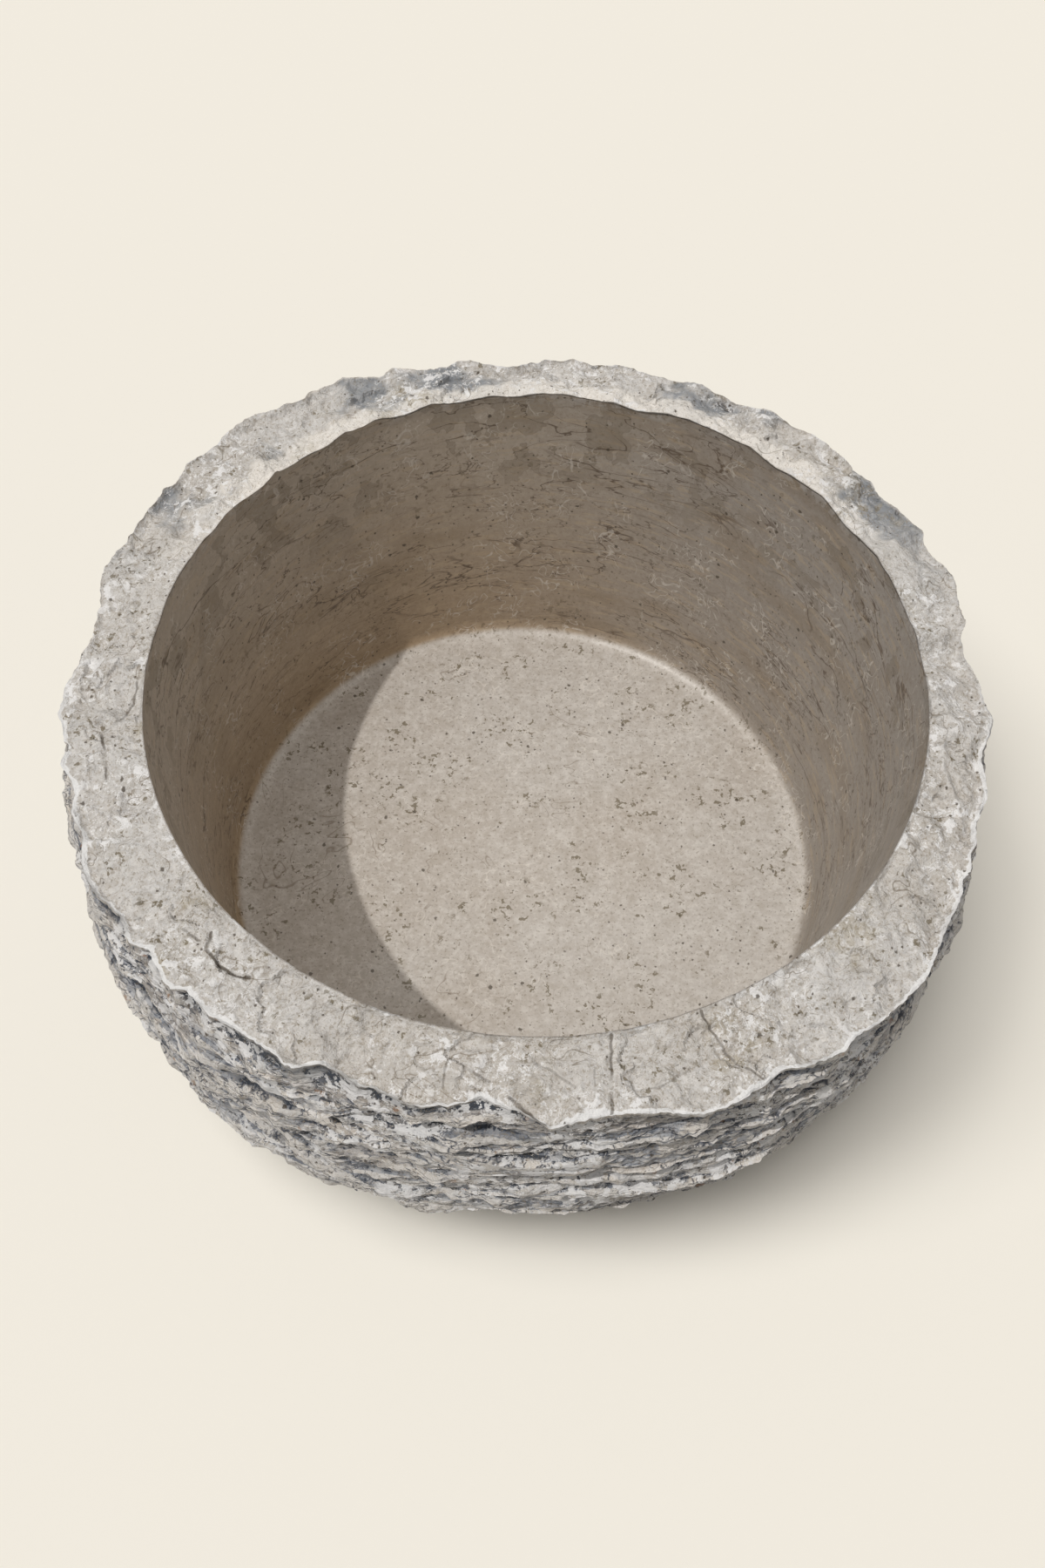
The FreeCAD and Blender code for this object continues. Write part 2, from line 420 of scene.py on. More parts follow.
    def rows(self):
        """Radius, height and smoothness of each row, from the base up: faces of beds, with gaps between."""
        beds = len(self.outs)
        rows = []
        for number in range(beds):
            low, high = self.joints[number], self.joints[number + 1]
            gaping = smooth_step(-0.1, 0.5, self.chance.at(ring(0.07, number * 1.1 + 10)))
            gap = np.minimum(0.0005 + 0.0015 * gaping, 0.25 * (high - low))
            faces = [(low + gap, 0.0)] + [(low + share * (high - low), share) for share in FACE_SHARES]
            upper_gap = np.minimum(0.0003 + 0.0005 * gaping, 0.2 * (high - low))
            faces.append((high - upper_gap if number < beds - 1 else high, 1.0))
            faces = [self.face(number, height, share) for height, share in faces]
            if number:
                inner = np.minimum(rows[-1][0], faces[0][0])
                smoothed = faces[0][2]
                rows.append((inner - (0.0018 + 0.0075 * gaping) * (1 - 0.7 * smoothed), low, smoothed))
            rows.extend(faces)
        return rows


def room_radius():
    """Farthest that the stone may reach from the hollow's axis, inside the CAD model's box."""
    reach = np.full(COLUMNS, np.inf)
    for axis, way in ((0, np.cos(azimuths)), (1, np.sin(azimuths))):
        wall = np.where(way >= 0, cad_high[axis] - SPARE, cad_low[axis] + SPARE) - stone.axis[axis]
        reach = np.minimum(reach, wall / np.copysign(np.maximum(np.abs(way), 1e-6), way))
    return reach


def held_under(limit, value):
    """A value that bends smoothly to stay under its limit."""
    return limit - SOFT_LIMIT * np.logaddexp(0, (limit - value) / SOFT_LIMIT)


def side_rows():
    """Points of the split outside, from the sawn base up to the rim's edge, with their marks: how far each
    stands out from the stone for some way round and from what is next to it, and where it is scooped."""
    radius, height, scoop = (np.array(rows) for rows in zip(*SplitSide().rows()))
    radius = held_under(room_radius(), radius)
    recess = radius - blur(blur(radius, 10, 1), 8, 0)
    cavity = radius - blur(blur(radius, 3, 1), 2, 0)
    return polar(radius, height), {"recess": recess, "cavity": cavity, "scoop": scoop}


def flakes(radius):
    """Shallow flakes broken off the rim: how much lower each point is."""
    chance = np.random.default_rng(STONE_SEED + 3)
    shape = Noise(STONE_SEED + 3)
    flat = polar(radius, 0.0)
    ragged = 0.35 * shape.layers(flat / 0.012, 3)
    seeded = [MAIN_FLAKE]
    for _ in range(FLAKE_COUNT):
        middle = chance.uniform(0, 2 * math.pi)
        reach = stone.mouth + chance.uniform(0.004, 0.055)
        size = chance.uniform(0.008, 0.030)
        seeded.append((middle, reach, size, chance.uniform(0, 2 * math.pi), chance.uniform(0.0014, 0.0042)))
    depth = np.zeros(radius.shape)
    for middle, reach, size, steep, deepest in seeded:
        away = flat - polar(reach, 0.0, middle)
        slope = (away[..., 0] * math.cos(steep) + away[..., 1] * math.sin(steep)) / size
        inside = smooth_step(1.0, 0.93, np.linalg.norm(away, axis=-1) / size + ragged)
        depth = np.maximum(depth, inside * deepest * np.clip(0.45 + 0.75 * slope, 0, 1))
    return depth


def crest_field(flat, size, seed):
    """A field that is 0 along the crests between hollows, and how far each point is from a crest."""
    field = Noise(seed).layers(flat / size, 4, 0.42)
    across = np.linalg.norm(np.gradient(flat, axis=0), axis=-1)
    along = np.linalg.norm(np.roll(flat, -1, 1) - flat, axis=-1)
    slope = np.hypot(np.gradient(field, axis=0) / across, (np.roll(field, -1, 1) - field) / along)
    return np.abs(field), np.clip(np.abs(field) / np.maximum(slope, 0.3 / size), 0, 0.01)


def crack_points(crack):
    """Points along one of the rim's cracks, seen from above."""
    return [polar(reach, 0.0, math.radians(azimuth)) for azimuth, reach in crack]


def grooves(flat):
    """Grooves along the cracks: how much lower each point of the rim is."""
    depth = np.zeros(flat.shape[:-1])
    for strength, *crack in CRACKS:
        points = crack_points(crack)
        for start, end in zip(points, points[1:]):
            run = end - start
            share = np.clip((flat - start) @ run / (run @ run), 0, 1)
            gap = np.linalg.norm(flat - start - share[..., None] * run, axis=-1)
            depth = np.maximum(depth, GROOVE_DEPTH * strength * smooth_step(GROOVE_REACH, 0.0, gap))
    return depth


def rim_rows(edge_points, mouth_height):
    """The broken top of the rim, from its edge to the mouth: shallow hollows with crests between them."""
    chance = Noise(STONE_SEED + 4)
    away = edge_points[:, :2] - stone.axis
    edge_radius = np.hypot(away[:, 0], away[:, 1])
    share = np.linspace(0, 1, RIM_ROWS + 1)[1:, None]
    radius = edge_radius + (stone.mouth - edge_radius) * share
    rise = 1 - (1 - share) ** 1.6
    height = edge_points[:, 2] + (mouth_height - edge_points[:, 2]) * rise
    flat = polar(radius, 0.0)
    relief = 0.0008 * chance.layers(flat / 0.05, 2) + 0.0004 * chance.layers(flat / 0.008 + 7.7, 3, 0.7)
    relief -= flakes(radius) + grooves(flat)
    crests = []
    for size, depth, seed in RIM_HOLLOWS:
        field, distance = crest_field(flat, size, STONE_SEED + seed)
        relief += depth * (MEAN_HOLLOW - np.minimum(field, 0.8))
        crests.append(distance)
    held = smooth_step(0, 0.10, share) * smooth_step(1.0, 0.93, share)
    height = held_under(stone.top - TOP_SPARE, height + relief * (0.3 + 0.7 * held))
    return polar(radius, height), crests, edge_radius - radius


def mouth_line():
    """Height of the mouth's edge all round: nearly level in front, chipped in round bays behind."""
    chance = Noise(STONE_SEED + 5)
    bays = np.abs(chance.layers(polar(0.25, 0.0) / 0.055, 2, 0.4))
    behind = smooth_step(-0.3, 0.5, np.sin(azimuths))
    return stone.top - 0.0012 - (0.0008 + 0.0075 * behind) * np.minimum(bays, 0.8)


def hollow_rows(mouth_height):
    """The honed hollow: one full row under the mouth's edge, then rows of fewer columns to the floor."""
    angles = azimuths[::COLUMNS_PER_INNER]
    profile = stone.hollow_profile()
    cove_top = stone.floor + 0.03

    def spacing(height):
        if height > cove_top:
            return WALL_STEP
        return COVE_STEP if height > stone.floor + 0.0004 else FLOOR_STEP

    profile = resample(profile, spacing)
    profile = profile[profile[:, 1] < stone.top - 0.012]
    drop = MOUTH_ARRIS * 1.6
    wall_top = np.interp(mouth_height - drop, profile[::-1, 1], profile[::-1, 0])
    first = polar(wall_top + (stone.mouth - wall_top) * 0.6, mouth_height - drop)
    rows = []
    for radius, height in profile:
        share = (stone.top - height) / (stone.top - stone.floor)
        row = polar(radius * (1 - FLOOR_SHRINK * share), height, angles)
        row[:, 0] += FLOOR_OFFSET * share
        rows.append(row)
    return first, rows


def underside_rows(foot_points):
    """The sawn base, from its broken edge to the middle."""
    edge = foot_points[::COLUMNS_PER_INNER]
    middle = np.array([*stone.axis, stone.foot])
    rows = []
    for share in np.linspace(0.97, 0.06, UNDERSIDE_ROWS):
        row = middle + (edge - middle) * share
        row[:, 2] = stone.foot
        rows.append(row)
    return rows[::-1]


# What the material needs to know at each point of the stone
ZONES = ("side", "rim", "wall", "honed")
MARKS = ZONES + ("recess", "cavity", "scoop", "from_edge", "from_mouth", "long_crest", "short_crest")


class Sheet:
    """Rows of points joined into one closed mesh, row by row."""

    def __init__(self):
        self.points = []
        self.faces = []
        self.marks = {name: [] for name in MARKS}
        self.count = 0
        self.last = None

    def add(self, row, **marks):
        """Adds one row, with a value for each mark, and joins it to the row before."""
        numbers = np.arange(self.count, self.count + len(row))
        self.points.append(row)
        self.count += len(row)
        for name, values in self.marks.items():
            values.append(np.broadcast_to(marks.get(name, 0.0), len(row)))
        if self.last is not None:
            self.join(self.last, numbers)
        self.last = numbers

    def join(self, lower, upper):
        if len(lower) == len(upper):
            quads = np.stack([lower, np.roll(lower, -1), np.roll(upper, -1), upper], axis=1)
            self.faces.extend(quads.tolist())
        elif len(lower) == 1:
            self.faces.extend([lower[0], b, a] for a, b in zip(upper, np.roll(upper, -1)))
        elif len(upper) == 1:
            self.faces.extend([a, b, upper[0]] for a, b in zip(lower, np.roll(lower, -1)))
        elif len(lower) > len(upper):
            step = len(lower) // len(upper)
            for i in range(len(upper)):
                run = [lower[(i * step + k) % len(lower)] for k in range(step + 1)]
                self.faces.append(run + [upper[(i + 1) % len(upper)], upper[i]])
        else:
            step = len(upper) // len(lower)
            for i in range(len(lower)):
                run = [upper[(i * step + k) % len(upper)] for k in range(step, -1, -1)]
                self.faces.append([lower[i], lower[(i + 1) % len(lower)]] + run)

    def mesh(self, name):
        mesh = bpy.data.meshes.new(name)
        points = np.concatenate(self.points)
        mesh.from_pydata(points.tolist(), [], self.faces)
        for mark, values in self.marks.items():
            layer = mesh.attributes.new(mark, "FLOAT", "POINT")
            layer.data.foreach_set("value", np.concatenate(values).astype(np.float32))
        mesh.shade_smooth()
        mesh.set_sharp_from_angle(angle=SHARP_EDGE)
        mesh.update()
        return mesh


def stone_mesh():
    """The whole block: underside, split side, rim, honed hollow."""
    side, side_marks = side_rows()
    mouth_height = mouth_line()
    rim, (long_crests, short_crests, _), from_edge = rim_rows(side[-1], mouth_height)
    first, hollow = hollow_rows(mouth_height)
    sheet = Sheet()
    far = {"from_edge": 1.0, "from_mouth": 1.0}
    sheet.add(np.array([[*stone.axis, stone.foot]]), **far)
    for row in underside_rows(side[0]):
        sheet.add(row, **far)
    for number, row in enumerate(side):
        below = EDGE_FALL * (side[-1, :, 2] - row[:, 2]).clip(0)
        marks = {name: values[number] for name, values in side_marks.items()}
        sheet.add(row, side=1.0, from_edge=below, from_mouth=1.0, **marks)
    rim_width = from_edge[-1]
    for row, long, short, away in zip(rim, long_crests, short_crests, from_edge):
        from_mouth = rim_width - away
        sheet.add(row, rim=1.0, long_crest=long, short_crest=short, from_edge=away, from_mouth=from_mouth)
    sheet.add(first, honed=0.6, wall=1.0, **far)
    for row in hollow:
        sheet.add(row, honed=1.0, wall=smooth_step(0.002, 0.006, row[0, 2] - stone.floor), **far)
    sheet.add(np.array([[stone.axis[0] + FLOOR_OFFSET, stone.axis[1], stone.floor]]), honed=1.0, **far)
    return sheet.mesh("planter_stone")


class Shader:
    """Adds nodes to one material. A socket given as a value is linked, anything else is set."""

    def __init__(self, name):
        self.material = bpy.data.materials.new(name)
        self.material.use_nodes = True
        self.tree = self.material.node_tree
        self.tree.nodes.clear()

    def node(self, kind, sockets=(), **settings):
        node = self.tree.nodes.new(kind)
        for key, value in settings.items():
            setattr(node, key, value)
        for key, value in dict(sockets).items():
            if isinstance(value, bpy.types.NodeSocket):
                self.tree.links.new(value, node.inputs[key])
            else:
                node.inputs[key].default_value = value
        return node

    def math(self, operation, first, second=0.0, clamp=False):
        node = self.node("ShaderNodeMath", {0: first, 1: second}, operation=operation, use_clamp=clamp)
        return node.outputs[0]

    def vector(self, operation, first, second):
        """A sum or product of two vectors, or a number where the operation gives one."""
        node = self.node("ShaderNodeVectorMath", {0: first, 1: second}, operation=operation)
        return node.outputs["Value" if operation in ("DISTANCE", "DOT_PRODUCT") else "Vector"]

    def place(self, scale):
        """Object coordinates times a scale for each axis."""
        if not hasattr(self, "coordinates"):
            self.coordinates = self.node("ShaderNodeTexCoord").outputs["Object"]
        return self.vector("MULTIPLY", self.coordinates, scale)

    def noise(self, scale, detail=4.0, roughness=0.55, distortion=0.0, stretch=(1, 1, 1), offset=0.0):
        """Noise from 0 to 1. The scale is in features a metre."""
        place = self.place(tuple(scale * axis for axis in stretch))
        if offset:
            place = self.vector("ADD", place, (offset,) * 3)
        sockets = {"Vector": place, "Scale": 1.0, "Detail": detail}
        sockets.update({"Roughness": roughness, "Distortion": distortion})
        return self.node("ShaderNodeTexNoise", sockets).outputs["Fac"]

    def band(self, value, low, high, top=1.0, bottom=0.0):
        """Smooth step of a value, from bottom at low to top at high."""
        sockets = {"Value": value, "From Min": low, "From Max": high, "To Min": bottom, "To Max": top}
        return self.node("ShaderNodeMapRange", sockets, interpolation_type="SMOOTHSTEP").outputs[0]

    def line(self, value, middle, half_width):
        """1 where the value is at the middle, falling to 0 at the half width."""
        away = self.math("ABSOLUTE", self.math("SUBTRACT", value, middle))
        return self.band(away, 0.0, half_width, top=0.0, bottom=1.0)

    def mix(self, share, first, second, blend="MIX"):
        """Mixes two colours, which are inputs 6 and 7 of the node, into its output 2."""
        sockets = {0: share}
        for index, value in ((6, first), (7, second)):
            sockets[index] = value if isinstance(value, bpy.types.NodeSocket) else (*value, 1.0)
        return self.node("ShaderNodeMix", sockets, data_type="RGBA", blend_type=blend).outputs[2]

    def mark(self, name):
        return self.node("ShaderNodeAttribute", attribute_name=name).outputs["Fac"]

    def finish(self, **sockets):
        named = {key.replace("_", " "): value for key, value in sockets.items()}
        surface = self.node("ShaderNodeBsdfPrincipled", named)
        self.node("ShaderNodeOutputMaterial", {"Surface": surface.outputs[0]})
        return self.material


def pits(s, scale, share, radius, offset=0.0):
    """Small ragged holes: one in some of the cells of a scattered grid."""
    place = s.vector("ADD", s.place((scale,) * 3), (offset,) * 3)
    cells = s.node("ShaderNodeTexVoronoi", {"Vector": place, "Scale": 1.0})
    chance = s.node("ShaderNodeSeparateColor", {0: cells.outputs["Color"]}).outputs[0]
    chosen = s.math("LESS_THAN", chance, share)
    ragged = s.math("MULTIPLY", s.math("SUBTRACT", s.noise(scale * 5, 1.0), 0.5), radius * scale * 2)
    away = s.math("ADD", cells.outputs["Distance"], ragged)
    hole = s.band(away, radius * scale * 0.6, radius * scale * 1.3, top=0.0, bottom=1.0)
    return s.math("MULTIPLY", chosen, hole)


def cracks(s):
    """The cracks across the rim: how dark each point is."""
    place = s.place((1, 1, 0))
    wander = s.node("ShaderNodeTexNoise", {"Vector": place, "Scale": 110.0, "Detail": 3.0}).outputs["Color"]
    wander = s.vector("MULTIPLY", wander, (CRACK_WANDER, CRACK_WANDER, 0))
    place = s.vector("ADD", place, wander)
    mean_wander = Vector((CRACK_WANDER, CRACK_WANDER, 0)) / 2
    total = 0.0
    for strength, *crack in CRACKS:
        points = [Vector(point) + mean_wander for point in crack_points(crack)]
        for start, end in zip(points, points[1:]):
            run = end - start
            away = s.vector("SUBTRACT", place, start)
            share = s.vector("DOT_PRODUCT", away, run / run.length_squared)
            share = s.math("ADD", share, 0.0, clamp=True)
            along = s.node("ShaderNodeVectorMath", {0: run, "Scale": share}, operation="SCALE").outputs[0]
            gap = s.vector("DISTANCE", away, along)
            width = 0.0005 + 0.0011 * strength
            dark = s.band(gap, 0.3 * width, width, top=0.0, bottom=strength)
            total = s.math("MAXIMUM", dark, total)
    return s.math("MULTIPLY", total, s.band(s.noise(60.0, 2.0, offset=3.0), 0.36, 0.52, bottom=0.25))


class Marble(Shader):
    """Beige limestone marble: hewn where it is split, honed in the hollow, with a brown wall, and with
    painted shade and light on the split outside, the wall and the rim behind.
    """

    def __init__(self):
        super().__init__("marble")
        self.side, self.rim, self.wall, self.honed = (self.mark(zone) for zone in ZONES)
        self.hewn = self.math("SUBTRACT", 1.0, self.honed)
        self.fine = self.noise(230.0, 3.0, 0.65)
        self.grain = self.noise(420.0, 2.0, 0.6)
        self.streak = self.noise(50.0, 4.0, 0.7, stretch=(1, 1, 8))
        self.ground()
        self.flecks()
        self.hollow_wall()
        self.shells()
        self.split_faces()
        self.rim_behind()
        self.rim_top()
        self.crushed_edges()
        self.holes()

    def within(self, value, *zones):
        for zone in zones:
            value = self.math("MULTIPLY", value, zone)
        return value

    def paint(self, share, strength, colour, *zones):
        """Lays a colour over what is there, within the zones."""
        share = self.within(share, *zones)
        self.colour = self.mix(self.math("MULTIPLY", share, strength), self.colour, colour)

    def tint(self, share, colour):
        """Multiplies what is there by a colour."""
        tinted = self.mix(1.0, self.colour, colour, "MULTIPLY")
        self.colour = self.mix(share, self.colour, tinted)

    def spots(self, places):
        """1 in the middle of each place on the rim, falling to 0 at its size."""
        total = 0.0
        for azimuth, reach, size in places:
            middle = Vector(polar(reach, 0.0, math.radians(azimuth)))
            gap = self.vector("DISTANCE", self.place((1, 1, 0)), middle)
            total = self.math("MAXIMUM", self.band(gap, size, 0.4 * size), total)
        return total

    def ground(self):
        """The stone's own tone, mottled at three scales. Hewn stone is paler and greyer than honed."""
        broad = self.band(self.noise(8.0, 2.0), 0.35, 0.65)
        hewn = self.mix(broad, (0.505, 0.488, 0.469), (0.548, 0.541, 0.535))
        honed = self.mix(broad, (0.452, 0.413, 0.375), (0.495, 0.466, 0.437))
        self.colour = self.mix(self.honed, hewn, honed)
        mottle = self.noise(70.0, 3.0, 0.6, stretch=(1, 1, 1.7))
        strong = self.band(self.side, 0.0, 1.0, bottom=0.5)
        self.paint(self.band(mottle, 0.50, 0.62), 0.40, (0.66, 0.63, 0.595), strong)
        self.paint(self.band(mottle, 0.47, 0.37), 0.30, (0.34, 0.29, 0.235), strong)
        self.paint(self.band(self.fine, 0.52, 0.61), 0.60, (0.68, 0.66, 0.63), strong)
        self.paint(self.band(self.fine, 0.47, 0.37), 0.60, (0.34, 0.30, 0.25), strong)
        self.paint(self.band(self.grain, 0.57, 0.66), 0.50, (0.22, 0.185, 0.14))

    def flecks(self):
        """Olive and brown flecks in loose groups, and hair cracks."""
        fleck = self.band(self.noise(210.0, 2.0, 0.6, offset=6.0), 0.60, 0.64)
        grouped = self.band(self.noise(28.0, 2.0, offset=1.0), 0.50, 0.58)
        self.paint(fleck, 0.8, (0.13, 0.105, 0.060), grouped)
        hair = self.line(self.noise(13.0, 3.0, 0.5, 0.8, offset=2.0), 0.5, 0.004)
        shown = self.band(self.noise(10.0, 1.0, offset=7.0), 0.56, 0.62)
        self.paint(hair, 0.6, (0.17, 0.13, 0.09), shown)

    def hollow_wall(self):
        """Wavy veins on the hollow's wall, and a tone that is partly brown patina and partly painted shade
        with warm painted bounce light: darker than the floor, warmer and darker at the foot and on the left,
        greyer towards the mouth and on the right.
        """
        parts = self.node("ShaderNodeSeparateXYZ", {0: self.place((1, 1, 1))})
        height = self.band(parts.outputs[2], stone.floor, stone.top)
        # painted shade and warm painted bounce light, partly patina: the wall darker than the floor, warm and
        # dark at the foot and on the left, greyer up high and on the right
        warm = self.mix(height, (0.71, 0.57, 0.41), (0.94, 0.88, 0.80))
        grey = self.mix(height, (0.65, 0.625, 0.60), (0.65, 0.64, 0.635))
        patina_and_painted_shade = self.mix(self.band(parts.outputs[0], -0.12, 0.20), warm, grey)
        self.paint(self.wall, 0.45, (0.49, 0.455, 0.415))
        self.tint(self.wall, patina_and_painted_shade)
        cloud = self.noise(7.0, 3.0, 0.6, stretch=(1, 1, 2.5), offset=17.0)
        self.paint(self.band(cloud, 0.50, 0.64), 0.30, (0.22, 0.155, 0.085), self.wall)
        bedding = self.noise(42.0, 3.0, 0.65, stretch=(1, 1, 6), offset=37.0)
        self.paint(self.band(bedding, 0.53, 0.63), 0.30, (0.50, 0.39, 0.26), self.wall)
        island = self.noise(30.0, 3.0, 0.55, offset=8.0)
        near_mouth = self.band(parts.outputs[2], 0.17, 0.24)
        self.paint(self.band(island, 0.56, 0.59), 0.35, (0.17, 0.135, 0.09), self.wall, near_mouth)
        self.paint(self.line(island, 0.57, 0.012), 0.35, (0.12, 0.09, 0.06), self.wall, near_mouth)
        for scale, offset in ((8.0, 0.0), (13.0, 5.0), (22.0, 9.0)):
            field = self.noise(scale, 4.0, 0.5, 0.6, stretch=(1, 1, 3.5), offset=offset)
            vein = self.line(field, 0.5, 0.011)
            shown = self.band(self.noise(9.0, 2.0, stretch=(1, 1, 2), offset=offset + 4), 0.46, 0.60)
            self.paint(vein, 0.8, (0.085, 0.055, 0.035), shown, self.wall)

    def shells(self):
        """Pale bits of shell in the honed stone."""
        shell = self.line(self.noise(75.0, 1.0, 0.5, 1.2, offset=5.0), 0.5, 0.026)
        grouped = self.band(self.noise(26.0, 2.0, offset=12.0), 0.48, 0.60)
        self.paint(shell, 0.5, (0.70, 0.665, 0.62), grouped, self.honed)

    def split_faces(self):
        """Painted shade and light on the split outside: a blue-grey painted shade, weaker behind, with
        blue-grey streaks along the beds, tan patches and painted light on the scoops, painted shade in gaps
        and hollows, painted highlights on crests, and rust.
        """
        below_edge = self.band(self.mark("from_edge"), 0.02, 0.14, bottom=0.25)
        # painted shade: a blue-grey tint and darks over the split outside, full in front, half as strong
        # behind, a quarter as strong at the rim's edge
        painted_shade = self.within(self.side, below_edge, self.across(0.08, -0.14, bottom=0.5))
        self.tint(painted_shade, (0.66, 0.695, 0.77))
        # painted shade, partly streaks in the stone: blue-grey bands along the beds
        self.paint(self.band(self.streak, 0.58, 0.42), 0.74, (0.150, 0.172, 0.212), painted_shade)
        tan = self.band(self.noise(26.0, 4.0, 0.65, stretch=(1, 1, 4), offset=31.0), 0.56, 0.61)
        # painted light: the scoops painted pale tan as lit faces; the noise gives tan patches of the stone
        tan = self.math("MAXIMUM", tan, self.band(self.mark("scoop"), 0.50, 0.90, top=0.7))
        self.paint(tan, 0.60, (0.64, 0.575, 0.50), self.side)
        ragged = self.math("MULTIPLY", self.math("SUBTRACT", self.fine, 0.5), 0.0018)
        cavity = self.math("ADD", self.mark("cavity"), ragged)
        recess = self.math("ADD", self.mark("recess"), ragged)
        # painted highlight: pale on parts that stand out from their surroundings
        self.paint(self.band(recess, 0.0022, 0.0045), 0.32, (0.68, 0.64, 0.59), self.side)
        # painted shade: dark blue-grey in recesses
        self.paint(self.band(recess, -0.0002, -0.0030), 0.84, (0.060, 0.073, 0.100), painted_shade)
        # painted highlight: pale on small crests
        self.paint(self.band(cavity, 0.0009, 0.0012), 0.62, (0.77, 0.74, 0.70), self.side)
        # painted shade: thin dark blue-grey lines along the beds, standing in for shaded open joints
        for scale, offset, width in ((15.0, 20.0, 0.013), (40.0, 24.0, 0.022), (105.0, 27.0, 0.026)):
            gap = self.line(self.noise(scale, 3.0, 0.55, stretch=(1, 1, 7), offset=offset), 0.5, width)
            shown = self.band(self.noise(0.5 * scale, 1.0, offset=offset + 1), 0.38, 0.48)
            self.paint(gap, 0.94, (0.034, 0.042, 0.062), shown, painted_shade)
        # painted shade: dark in small hollows
        self.paint(self.band(cavity, -0.0004, -0.0010), 0.92, (0.034, 0.042, 0.058), painted_shade)
        rust = self.band(self.noise(70.0, 3.0, 0.6, offset=15.0), 0.67, 0.70)
        self.paint(rust, 0.6, (0.30, 0.16, 0.08), self.side)

    def across(self, start, end, bottom=0.0):
        """Smooth step from bottom to 1 between two places on the line from the stone's front to its back."""
        parts = self.node("ShaderNodeSeparateXYZ", {0: self.place((1, 1, 1))})
        return self.band(parts.outputs[1], start, end, bottom=bottom)

    def rim_behind(self):
        """Painted shadow in broad blue-grey patches on the rim behind, and paler stone along the mouth there.
        """
        behind = self.within(self.across(0.05, 0.16), self.rim)
        # painted shadow: blue-grey patches on the rim behind
        painted_shadow_patch = self.band(self.noise(11.0, 4.0, 0.60, offset=43.0), 0.48, 0.57)
        self.paint(painted_shadow_patch, 0.85, (0.205, 0.225, 0.255), behind)
        pale = self.noise(40.0, 3.0, 0.6, offset=44.0)
        pale = self.math("ADD", self.mark("from_mouth"), self.math("MULTIPLY", pale, -0.040))
        self.paint(self.band(pale, 0.002, -0.006), 0.85, (0.75, 0.725, 0.69), behind)

    def rim_top(self):
        """Fine scratches, olive stains with a web of cracks, and white bruises in clusters and on crests."""
        scratch = self.line(self.noise(130.0, 2.0, 0.6, 1.6, offset=16.0), 0.5, 0.022)
        self.paint(scratch, 0.6, (0.26, 0.215, 0.155), self.hewn)
        stained = self.band(self.noise(11.0, 2.0, offset=18.0), 0.56, 0.64)
        stained = self.math("MAXIMUM", stained, self.spots(STAINS))
        web = self.line(self.noise(48.0, 4.0, 0.6, 1.0, offset=19.0), 0.5, 0.020)
        blotch = self.band(self.noise(60.0, 4.0, 0.7, offset=21.0), 0.50, 0.60)
        self.paint(blotch, 0.4, (0.31, 0.26, 0.165), stained, self.rim)
        self.paint(web, 0.7, (0.15, 0.12, 0.07), stained, self.rim)
        bruise = self.noise(95.0, 4.0, 0.68, offset=9.0)
        long_crest = self.band(self.mark("long_crest"), 0.005, 0.0)
        short_crest = self.band(self.mark("short_crest"), 0.003, 0.0)
        crest = self.math("MAXIMUM", long_crest, short_crest)
        clusters = self.band(self.noise(16.0, 2.0, offset=11.0), 0.45, 0.56, bottom=0.2)
        clusters = self.math("MAXIMUM", clusters, self.spots(BRUISES))
        bruise = self.math("ADD", bruise, self.math("MULTIPLY", crest, 0.10))
        ragged = self.math("MULTIPLY", self.math("SUBTRACT", self.fine, 0.5), 0.35)
        bruise = self.band(self.math("ADD", bruise, ragged), 0.60, 0.64)
        lace = self.line(self.noise(75.0, 4.0, 0.66, 0.8, offset=39.0), 0.5, 0.030)
        lace = self.within(lace, self.band(self.fine, 0.42, 0.52))
        bruise = self.math("MAXIMUM", bruise, lace)
        self.paint(bruise, 0.85, (0.77, 0.775, 0.79), clusters, self.hewn)
        hair = self.line(self.noise(30.0, 2.0, 0.5, 0.7, offset=33.0), 0.5, 0.008)
        shown = self.band(self.noise(24.0, 1.0, offset=34.0), 0.54, 0.60)
        self.paint(hair, 0.7, (0.15, 0.12, 0.085), shown, self.rim)

    def crushed_edges(self):
        """A pale uneven line along the front edge and here and there at the mouth, and a dark arris."""
        crush = self.math("SUBTRACT", self.noise(90.0, 3.0, 0.65, offset=2.0), 0.5)
        uneven = self.math("SUBTRACT", self.noise(15.0, 2.0, offset=14.0), 0.5)
        crush = self.math("MULTIPLY", self.math("ADD", crush, uneven), 0.012)
        edge_crush = self.math("MULTIPLY", crush, 0.6)
        at_edge = self.band(self.math("ADD", self.mark("from_edge"), edge_crush), 0.0026, 0.0019)
        at_edge = self.within(at_edge, self.across(0.05, -0.08))
        from_mouth = self.mark("from_mouth")
        at_mouth = self.band(self.math("ADD", from_mouth, crush), -0.0004, -0.0012)
        self.paint(self.math("MAXIMUM", at_edge, at_mouth), 0.92, (0.76, 0.77, 0.785), self.hewn)
        self.paint(self.band(from_mouth, 0.0010, 0.0003), 0.6, (0.15, 0.13, 0.11))

